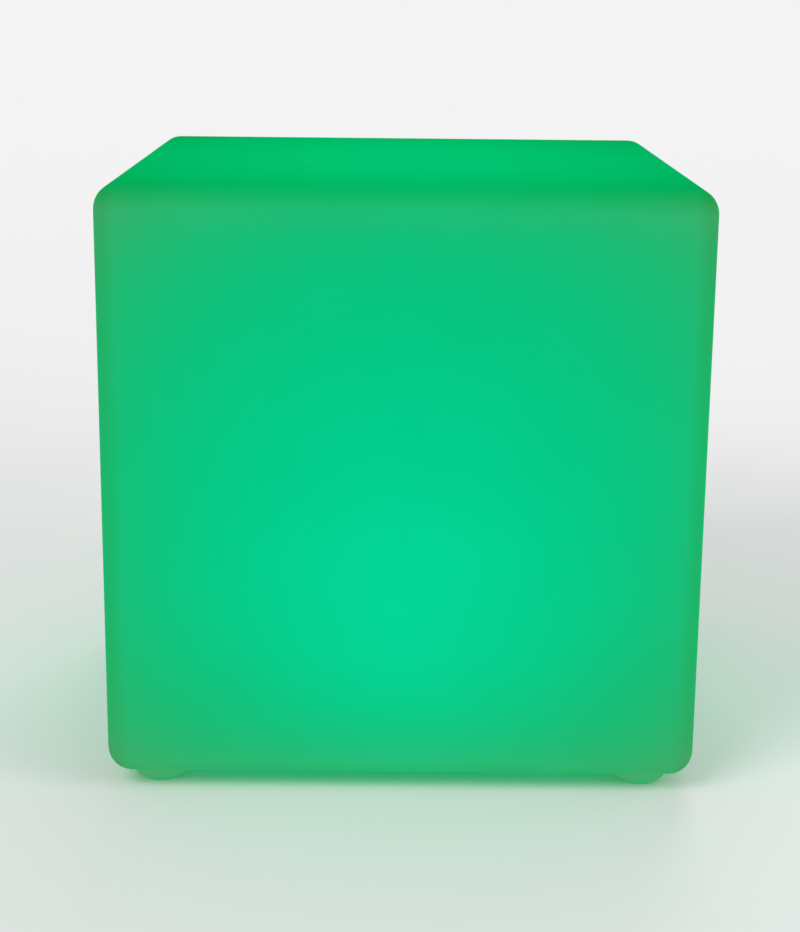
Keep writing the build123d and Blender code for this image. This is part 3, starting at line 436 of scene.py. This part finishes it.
def metalFinish(name, knurled=False):
    look = metals[name]
    f = Finish(name)
    brushed = f.noise(brush["width"], stretch=look["lines"])
    low, high = look["roughness"]
    height = brushed * brush["share"]
    if knurled:  # two crossing sets of slanting teeth round each insert
        across, along = f.around(knurls["count"], knurls["ring"])
        tooth = along.calc("ARCTAN2", across) * knurls["teeth"]
        helix = f.z * knurls["lead"]
        height = (height + abs((tooth + helix).calc("SINE"))) * abs((tooth - helix).calc("SINE"))
    stain = f.noise(brush["stain"]).rise(*brush["stainFrom"])
    return f.surface({
        "Base Color": f.mix(stain, look["colour"], look["tarnish"]),
        "Metallic": 1.0,
        "Roughness": low + brushed * (high - low),
        "Normal": f.bump(height, look["depth"]),
    })


# steel screws: where the thread runs, its pitch, and the ring on which they stand, if they do
screws = {
    "flange_screws": {"thread": (14.6 * mm, 26.4 * mm), "pitch": 0.7 * mm, "ring": (6, 80 * mm)},
    "dome_screws": {"thread": (45.1 * mm, 54.9 * mm), "pitch": 0.5 * mm, "ring": (6, 64.5 * mm)},
    "led_board_screws": {"thread": (39.7 * mm, 47.5 * mm), "pitch": 0.5 * mm, "ring": None},
    "clamp_screws": {"thread": (32.1 * mm, 39.9 * mm), "pitch": 0.5 * mm, "ring": None},
    "board_screws": {"thread": (24.7 * mm, 30.5 * mm), "pitch": 0.45 * mm, "ring": None},
}
steel = {
    "colour": (0.64, 0.63, 0.61),
    "stain": (0.50, 0.49, 0.46), "stainSize": 2.5 * mm, "stainFrom": (0.5, 0.8),
    "fine": 0.25 * mm, "fineStretch": (1, 1, 0.4), "turnedPitch": 0.12 * mm, "turnedShare": 0.2,
    "runOut": 0.1 * mm, "threadDepth": 10.0, "depth": 0.02 * mm, "roughness": (0.24, 0.38),
}


def screwFinish(node):
    look = screws[node]
    f = Finish("stainless " + node)
    start, end = look["thread"]
    threaded = f.z.rise(start, start + steel["runOut"]) * f.z.rise(end, end - steel["runOut"])
    thread = abs((f.z * (math.pi / look["pitch"])).calc("SINE")) * threaded
    fine = f.noise(steel["fine"], stretch=steel["fineStretch"])
    if look["ring"]:  # fine rings left by the lathe on each head
        across, along = f.around(*look["ring"])
        turned = (length(across, along) * (2 * math.pi / steel["turnedPitch"])).calc("SINE")
        fine = fine + turned * steel["turnedShare"]
    stain = f.noise(steel["stainSize"]).rise(*steel["stainFrom"])
    low, high = steel["roughness"]
    return f.surface({
        "Base Color": f.mix(stain, steel["colour"], steel["stain"]),
        "Metallic": 1.0,
        "Roughness": low + fine * (high - low),
        "Normal": f.bump(thread * steel["threadDepth"] + fine, steel["depth"]),
    })


# light board: white mask over copper rings, gold vias between the outer emitters
lightBoard = {
    "mask": (0.80, 0.82, 0.79), "overCopper": (0.88, 0.89, 0.86), "edge": (0.62, 0.55, 0.36),
    "gold": (0.75, 0.58, 0.25), "speck": (0.7, 0.71, 0.68), "speckSize": 0.8 * mm, "speckCover": 0.25,
    "emitterRings": (20 * mm, 40 * mm), "trackOff": 3.9 * mm, "trackHalf": 1.1 * mm,
    "trackCore": 0.8, "speckRelief": 0.1, "facing": (0.3, 0.7),
    "vias": 16, "viaRing": 34.2 * mm, "viaRadius": 0.6 * mm, "viaEdge": 0.1 * mm,
    "relief": 0.03 * mm, "roughness": (0.32, 0.44),
}


def lightBoardFinish():
    look = lightBoard
    f = Finish("white light board")
    out = length(f.x, f.y)
    middles = [ring + side * look["trackOff"] for ring in look["emitterRings"] for side in (-1, 1)]
    edge, core = look["trackHalf"], look["trackCore"] * look["trackHalf"]
    copper = union([abs(out - middle).rise(edge, core) for middle in middles])
    across, along = f.around(look["vias"], look["viaRing"], math.pi / look["vias"])
    via = length(across, along).rise(look["viaRadius"], look["viaRadius"] - look["viaEdge"])
    flat = abs(f.nz).rise(*look["facing"])
    speck = f.noise(look["speckSize"])
    face = f.mix(via, f.mix(copper, look["mask"], look["overCopper"]), look["gold"])
    face = f.mix(speck * look["speckCover"], face, look["speck"])
    low, high = look["roughness"]
    return f.surface({
        "Base Color": f.mix(flat, look["edge"], face),
        "Metallic": via * flat,
        "Roughness": low + speck * (high - low),
        "Normal": f.bump(copper + speck * look["speckRelief"], look["relief"]),
    })


# emitters: white package, green light out of the gel in its well
emitter = {
    "gelTop": 49.1 * mm, "gelEdge": 0.1 * mm, "package": (0.82, 0.82, 0.78), "shade": (0.7, 0.68, 0.6),
    "gel": (0.75, 0.66, 0.12), "dark": (0.0, 0.0, 0.0), "light": (0.05, 0.95, 0.42),
    "facing": (0.5, 0.8), "cloud": 0.7 * mm, "shadeCover": 0.3, "depth": 0.01 * mm,
    "roughness": 0.42, "gelGloss": 0.2, "cloudRough": 0.08,
}


def emitterFinish():
    f = Finish("emitter package")
    onTop = f.nz.rise(*emitter["facing"])
    gel = onTop * f.z.rise(emitter["gelTop"], emitter["gelTop"] - emitter["gelEdge"])
    cloud = f.noise(emitter["cloud"])
    package = f.mix(cloud * emitter["shadeCover"], emitter["package"], emitter["shade"])
    return f.surface({
        "Base Color": f.mix(gel, package, emitter["gel"]),
        "Roughness": emitter["roughness"] - gel * emitter["gelGloss"] + cloud * emitter["cloudRough"],
        "Emission Color": f.mix(gel, emitter["dark"], emitter["light"]),
        "Emission Strength": 1.0,
        "Normal": f.bump(cloud, emitter["depth"]),
    })


# green circuit boards: tracks in staggered lanes, gold vias, bare glass fibre at the edges
circuit = {
    "mask": (0.012, 0.12, 0.05), "overCopper": (0.03, 0.22, 0.09), "edge": (0.42, 0.36, 0.2),
    "gold": (0.72, 0.56, 0.24), "lane": 3.2 * mm, "patch": 7 * mm, "patchFrom": (0.42, 0.5),
    "viaSpacing": 4 * mm, "viaRadius": (0.14, 0.11), "relief": 0.03 * mm,
    "shift": 0.35, "gap": 0.07, "gapEdge": 0.2, "trackLength": 2.6, "trackWidth": 0.55,
    "facing": (0.3, 0.7), "gloss": 1.2 * mm, "roughness": (0.26, 0.40),
}


def circuitFinish():
    f = Finish("green circuit board")
    lanes = f.node("ShaderNodeTexBrick", {"offset": circuit["shift"]}, {
        "Vector": f.place, "Scale": 1 / circuit["lane"],
        "Mortar Size": circuit["gap"], "Mortar Smooth": circuit["gapEdge"],
        "Brick Width": circuit["trackLength"], "Row Height": circuit["trackWidth"]}, out="Fac")
    track = lanes * f.noise(circuit["patch"]).rise(*circuit["patchFrom"])
    via = f.cells(circuit["viaSpacing"]).rise(*circuit["viaRadius"])
    flat = abs(f.nz).rise(*circuit["facing"])
    face = f.mix(track, circuit["mask"], circuit["overCopper"])
    low, high = circuit["roughness"]
    return f.surface({
        "Base Color": f.mix(flat, circuit["edge"], f.mix(via, face, circuit["gold"])),
        "Metallic": via * flat,
        "Roughness": low + f.noise(circuit["gloss"]) * (high - low),
        "Normal": f.bump(track + via, circuit["relief"]),
    })


# cells: film round a steel can, bare at the ends
cell = {
    "half": 32.5 * mm, "bare": 0.7 * mm, "filmEnd": 0.8,
    "film": (0.02, 0.19, 0.17), "stretched": (0.03, 0.25, 0.22),
    "steel": (0.62, 0.61, 0.58), "band": 4 * mm, "bandStretch": (0.1, 1, 1), "depth": 0.02 * mm,
    "roughness": (0.22, 0.36),
}


def cellFinish():
    f = Finish("filmed cell")
    bare = abs(f.x).rise(cell["half"] - cell["bare"], cell["half"] - cell["filmEnd"] * cell["bare"])
    band = f.noise(cell["band"], stretch=cell["bandStretch"])
    low, high = cell["roughness"]
    return f.surface({
        "Base Color": f.mix(bare, f.mix(band, cell["film"], cell["stretched"]), cell["steel"]),
        "Metallic": bare,
        "Roughness": low + band * (high - low),
        "Normal": f.bump(band, cell["depth"]),
    })


# shrunk film round the pack, drawn into wrinkles near its ends
sleeve = {
    "colour": (0.016, 0.07, 0.34), "fold": (0.03, 0.12, 0.46), "half": 33.2 * mm, "endReach": 12 * mm,
    "wrinkle": 1.6 * mm, "wrinkleStretch": (0.12, 1, 1), "depth": 0.12 * mm, "calm": 0.2,
    "roughness": (0.18, 0.30),
}


def sleeveFinish():
    f = Finish("shrunk blue film")
    wrinkle = f.noise(sleeve["wrinkle"], stretch=sleeve["wrinkleStretch"])
    atEnd = abs(f.x).rise(sleeve["half"] - sleeve["endReach"], sleeve["half"])
    low, high = sleeve["roughness"]
    return f.surface({
        "Base Color": f.mix(wrinkle, sleeve["colour"], sleeve["fold"]),
        "Roughness": low + wrinkle * (high - low),
        "Normal": f.bump(wrinkle * (sleeve["calm"] + atEnd), sleeve["depth"]),
    })


foam = {"pore": 0.5 * mm, "depth": 0.2 * mm, "hollow": (0.10, 0.10, 0.105), "wall": (0.26, 0.26, 0.27),
        "roughness": (0.85, 0.95), "specular": 0.2}


def foamFinish():  # closed cells cut open, with painted shade in the pores
    f = Finish("grey foam")
    pores = f.cells(foam["pore"])
    low, high = foam["roughness"]
    return f.surface({
        "Base Color": f.mix(pores, foam["hollow"], foam["wall"]),
        "Roughness": low + pores * (high - low),
        "Specular IOR Level": foam["specular"],
        "Normal": f.bump(pores, foam["depth"]),
    })


# electrolytic capacitors: bare can with a scored top and painted shade in its score lines, dark film round it
# with a pale stripe
capacitor = {
    "places": ((-5 * mm, -13.5 * mm), (-5 * mm, -21 * mm)), "scoreReach": 3.6 * mm, "scoreHalf": 0.25 * mm,
    "scoreCore": 0.4, "scoreEnd": 0.97, "facing": (0.4, 0.6),
    "film": (0.02, 0.022, 0.03),
    "stripe": (0.55, 0.56, 0.58), "stripeX": -2.55 * mm, "stripeEdge": 0.05 * mm,
    "can": (0.72, 0.72, 0.73), "scoreShade": (0.3, 0.3, 0.31), "brushed": 0.3 * mm, "brushStretch": (1, 0.1, 1),
    "brushRelief": 0.1, "depth": 0.1 * mm, "roughness": (0.26, 0.38),
}


def capacitorFinish():
    look = capacitor
    f = Finish("capacitor")
    onTop = f.nz.rise(*look["facing"])
    cuts = []
    for x, y in look["places"]:
        across, along = abs(f.x - x), abs(f.y - y)
        line = across.below(along).rise(look["scoreHalf"], look["scoreCore"] * look["scoreHalf"])
        cuts.append(line * along.rise(look["scoreReach"], look["scoreEnd"] * look["scoreReach"]))
    score = union(cuts)
    stripe = f.x.rise(look["stripeX"] - look["stripeEdge"], look["stripeX"] + look["stripeEdge"])
    wrap = f.mix(stripe, look["film"], look["stripe"])
    brushed = f.noise(look["brushed"], stretch=look["brushStretch"])
    low, high = look["roughness"]
    return f.surface({
        # painted shade in the score lines on the can's top
        "Base Color": f.mix(onTop, wrap, f.mix(score, look["can"], look["scoreShade"])),
        "Metallic": onTop,
        "Roughness": low + brushed * (high - low),
        "Normal": f.bump(brushed * look["brushRelief"] - score * onTop, look["depth"]),
    })


# wires: insulation with a fine grain; the line runs between the red and the black wire, in mm
wires = {
    "battery_leads": [(20, 26.5), (36.5, 26.5), (40.6, 14.5), (38.7, -4.5), (25.5, -19.75), (10, -19.75)],
    "socket_leads": [(24, -24), (24, -31.6), (10, -31.6)],
}
insulation = {
    "red": (0.50, 0.022, 0.018), "black": (0.02, 0.02, 0.021), "dust": (0.1, 0.09, 0.09), "dustCover": 0.2,
    "signals": [(0.48, 0.03, 0.02), (0.03, 0.30, 0.07), (0.02, 0.09, 0.42), (0.72, 0.72, 0.68),
                (0.02, 0.02, 0.02)],
    "signalsFrom": -5 * mm, "signalsWidth": 10 * mm, "join": 0.1 * mm,
    "grain": 0.5 * mm, "depth": 0.01 * mm, "roughness": (0.34, 0.48),
}


def insulationFinish(f, colour):
    grain = f.noise(insulation["grain"])
    low, high = insulation["roughness"]
    return f.surface({
        "Base Color": f.mix(grain * insulation["dustCover"], colour, insulation["dust"]),
        "Roughness": low + grain * (high - low),
        "Normal": f.bump(grain, insulation["depth"]),
    })


def wireFinish(node):
    f = Finish("insulation of " + node)
    sides = []
    for (x0, y0), (x1, y1) in zip(wires[node], wires[node][1:]):
        run = math.hypot(x1 - x0, y1 - y0)
        leftX, leftY = (y0 - y1) / run, (x1 - x0) / run
        sides.append(f.x * leftX + f.y * leftY - (x0 * leftX + y0 * leftY) * mm)
    black = union(sides).rise(-insulation["join"], insulation["join"])
    return insulationFinish(f, f.mix(black, insulation["red"], insulation["black"]))


def signalWireFinish():
    f = Finish("signal wires")
    place = (f.x - insulation["signalsFrom"]) / insulation["signalsWidth"]
    return insulationFinish(f, f.node("ShaderNodeValToRGB", {"stops": insulation["signals"]}, {0: place}))


finishes = {
    "glow_body": glowFinish(), "module_plastic": housingFinish(), "button_rubber": buttonFinish(),
    "clear_cover": clearFinish(), "white_board": lightBoardFinish(), "emitter_package": emitterFinish(),
    "green_board": circuitFinish(), "cell_steel": cellFinish(), "blue_sleeve": sleeveFinish(),
    "grey_foam": foamFinish(), "capacitor_can": capacitorFinish(), "signal_wire": signalWireFinish(),
    "black_plastic": plasticFinish("black nylon"), "white_nylon": plasticFinish("natural nylon"),
    "dark_epoxy": plasticFinish("dark epoxy"), "black_rubber": rubberFinish("black rubber"),
    "red_silicone": rubberFinish("red silicone"), "grey_silicone": rubberFinish("grey silicone"),
    "brass": metalFinish("knurled brass", knurled=True), "nickel": metalFinish("nickel plate"),
    "spring_steel": metalFinish("spring steel"),
}
ownFinishes = {name: screwFinish(name) for name in screws}
ownFinishes.update({name: wireFinish(name) for name in wires})
slotOf = {part["node"]: part["material_slot"] for part in frame["record"]["subparts"]}
for name, piece in nodes.items():
    piece.data.materials.clear()
    piece.data.materials.append(ownFinishes.get(name) or finishes[slotOf[name]])
print("finishes:", len(bpy.data.materials), "on", len(nodes), "nodes")


def addMesh(name, verts, faces, material):
    mesh = bpy.data.meshes.new(name)
    mesh.from_pydata(verts, [], faces)
    mesh.materials.append(material)
    piece = bpy.data.objects.new(name, mesh)
    bpy.context.scene.collection.objects.link(piece)
    return piece


def addTube(name, rings, material):  # closed skin over a row of rings, all with as many points
    count = len(rings[0])
    verts = [point for ring in rings for point in ring]
    faces = [tuple(reversed(range(count))), tuple(range(len(verts) - count, len(verts)))]
    for ring in range(0, len(verts) - count, count):
        for i in range(count):
            after = (i + 1) % count
            faces.append((ring + i, ring + after, ring + after + count, ring + i + count))
    piece = addMesh(name, verts, faces, material)
    for face in piece.data.polygons:
        face.use_smooth = len(face.vertices) == 4
    return piece


# web of the port cap's strap, where the strap bends, made straight, between the half on the anchor and the
# half on the cap
strap = {
    "hinge": (38.0 * mm, -30.0 * mm), "reach": 1.5 * mm, "width": 4.4 * mm, "z": (12.85 * mm, 13.75 * mm),
    "steps": 24, "corner": 0.25 * mm, "cornerSteps": 3, "bend": (38.5 * mm, 37.5 * mm),
}


def makeStrap():
    x0, y0 = strap["hinge"]
    low, high = strap["z"]
    corner = strap["corner"]
    half = strap["width"] / 2 - corner
    outline = []
    for side, level, turn in ((half, high - corner, 0), (-half, high - corner, 90),
                              (-half, low + corner, 180), (half, low + corner, 270)):
        for step in range(strap["cornerSteps"] + 1):
            angle = math.radians(turn + 90 * step / strap["cornerSteps"])
            outline.append((y0 + side + corner * math.cos(angle), level + corner * math.sin(angle)))
    rings = []
    for step in range(strap["steps"] + 1):
        x = x0 + strap["reach"] * (2 * step / strap["steps"] - 1)
        rings.append([(x, y, z) for y, z in outline])
    piece = addTube("port_cap_web", rings, finishes["grey_silicone"])
    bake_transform(piece)


# return spring of the push switch, wound closer towards its ends; made at the length of the CAD spring,
# though the real one shortens as the button is pressed
spring = {"wire": 0.2 * mm, "turns": 5, "closer": 0.45, "play": 0.02 * mm, "travel": 1.5 * mm,
          "turnSteps": 32, "wireSides": 12}


def makeSpring():
    low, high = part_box("switch_spring")
    x0, y0 = button["middle"]
    wire = spring["wire"]
    radius = (high[0] - low[0]) / 2 - wire
    bottom = low[2] + spring["play"] + wire
    rise = high[2] - spring["play"] - wire - bottom
    steps = spring["turns"] * spring["turnSteps"]
    centres = []
    outward = []
    for step in range(steps + 1):
        turn = 2 * math.pi * step / spring["turnSteps"]
        share = step / steps
        share -= spring["closer"] * math.sin(2 * math.pi * share) / (2 * math.pi)
        outward.append(Vector((math.cos(turn), math.sin(turn), 0.0)))
        centres.append(Vector((x0, y0, bottom + rise * share)) + outward[-1] * radius)
    rings = []
    for i, centre in enumerate(centres):
        along = (centres[min(i + 1, steps)] - centres[max(i - 1, 0)]).normalized()
        out = (outward[i] - along * along.dot(outward[i])).normalized()
        across = along.cross(out)
        turns = [2 * math.pi * side / spring["wireSides"] for side in range(spring["wireSides"])]
        rings.append([centre + (out * math.cos(turn) + across * math.sin(turn)) * wire for turn in turns])
    piece = addTube("switch_return_spring", rings, finishes["spring_steel"])
    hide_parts("switch_spring")
    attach(piece, "lamp")
    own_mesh(piece)


makeStrap()
makeSpring()
print("strap web and spring made")

# floor and room: pale, the floor seen from above only; it fades to the plain background far away,
# evenly over 1 / distance, as the eye sees it
stage = {
    "radius": 40.0, "sides": 96, "floor": (0.80, 0.80, 0.80), "worn": (0.74, 0.74, 0.74),
    "cloud": 0.3, "cloudCover": 0.1, "fade": (1.4, 0.17),
    "background": (0.90, 0.90, 0.90), "white": (1.0, 1.0, 1.0), "daylight": 0.55,
}


def floorFinish():
    f = Finish("pale floor")
    paper = f.node("ShaderNodeBsdfDiffuse", sockets={
        "Color": f.mix(f.noise(stage["cloud"]) * stage["cloudCover"], stage["floor"], stage["worn"])})
    plain = f.node("ShaderNodeEmission", sockets={"Color": stage["background"], "Strength": 1.0})
    far = (length(f.x, f.y) ** -1.0).rise(*stage["fade"])
    above = f.node("ShaderNodeMixShader", sockets={0: far * f.seen(), 1: paper, 2: plain})
    fromBelow = f.node("ShaderNodeNewGeometry", out="Backfacing")
    glass = f.node("ShaderNodeBsdfTransparent")
    mixed = f.node("ShaderNodeMixShader", sockets={0: fromBelow, 1: above, 2: glass})
    f.node("ShaderNodeOutputMaterial", sockets={"Surface": mixed})
    return f.owner


def makeFloor():
    turns = [2 * math.pi * i / stage["sides"] for i in range(stage["sides"])]
    verts = [(stage["radius"] * math.cos(turn), stage["radius"] * math.sin(turn), 0.0) for turn in turns]
    addMesh("floor", verts, [tuple(range(stage["sides"]))], floorFinish())


def makeRoom():
    room = Tree(bpy.data.worlds.new("studio"))
    lit = room.node("ShaderNodeBackground", sockets={
        "Color": stage["white"], "Strength": stage["daylight"]})
    plain = room.node("ShaderNodeBackground", sockets={"Color": stage["background"], "Strength": 1.0})
    mixed = room.node("ShaderNodeMixShader", sockets={0: room.seen(), 1: lit, 2: plain})
    room.node("ShaderNodeOutputWorld", sockets={"Surface": mixed})
    bpy.context.scene.world = room.owner


# soft boxes: place, size, power; the last one shines up through the floor
lamps = {
    "key": {"place": (-1.6, -2.0, 2.2), "size": 1.8, "watts": 42.0},
    "fill": {"place": (2.2, -1.2, 1.4), "size": 1.8, "watts": 20.0},
    "back": {"place": (0.4, 2.2, 1.9), "size": 1.6, "watts": 22.0},
    "under": {"place": (0.0, 0.0, -1.6), "size": 1.6, "watts": 14.0},
}
aim = Vector((0.0, 0.0, 0.2))


def makeLamps():
    made = {}
    for name, look in lamps.items():
        data = bpy.data.lights.new(name, "AREA")
        data.shape = "DISK"
        data.size = look["size"]
        data.energy = look["watts"]
        lamp = bpy.data.objects.new(name, data)
        lamp.location = look["place"]
        lamp.rotation_euler = (aim - lamp.location).to_track_quat("-Z", "Y").to_euler()
        bpy.context.scene.collection.objects.link(lamp)
        made[name] = lamp
    blockers = bpy.data.collections.new("lamp parts")
    for piece in nodes.values():
        blockers.objects.link(piece)
    made["under"].light_linking.blocker_collection = blockers  # the floor lets this lamp through


makeFloor()
makeRoom()
makeLamps()
print("floor, room and lamps made")

# camera at the photograph's place, fitted to the cube's edges, corners and feet there
shot = {
    "place": (-0.0071, -1.4256, 0.5403), "yaw": 0.22, "pitch": 14.18, "roll": 0.59,
    "focalPixels": 1941, "longSide": 932, "sensor": 36.0, "clip": (0.01, 200.0),
}


def makeCamera():
    data = bpy.data.cameras.new("camera")
    data.sensor_width = shot["sensor"]
    data.lens = shot["sensor"] * shot["focalPixels"] / shot["longSide"]
    data.clip_start, data.clip_end = shot["clip"]
    yaw, pitch, roll = (math.radians(shot[name]) for name in ("yaw", "pitch", "roll"))
    ahead = Vector((math.sin(yaw) * math.cos(pitch), math.cos(yaw) * math.cos(pitch), -math.sin(pitch)))
    level = Vector((math.cos(yaw), -math.sin(yaw), 0.0))
    upright = level.cross(ahead)
    right = math.cos(roll) * level + math.sin(roll) * upright
    up = math.cos(roll) * upright - math.sin(roll) * level
    turned = Matrix((right, up, -ahead)).transposed().to_4x4()
    camera = bpy.data.objects.new("camera", data)
    camera.matrix_world = Matrix.Translation(shot["place"]) @ turned
    bpy.context.scene.collection.objects.link(camera)
    bpy.context.scene.camera = camera


makeCamera()
bpy.context.scene.view_settings.view_transform = "Standard"
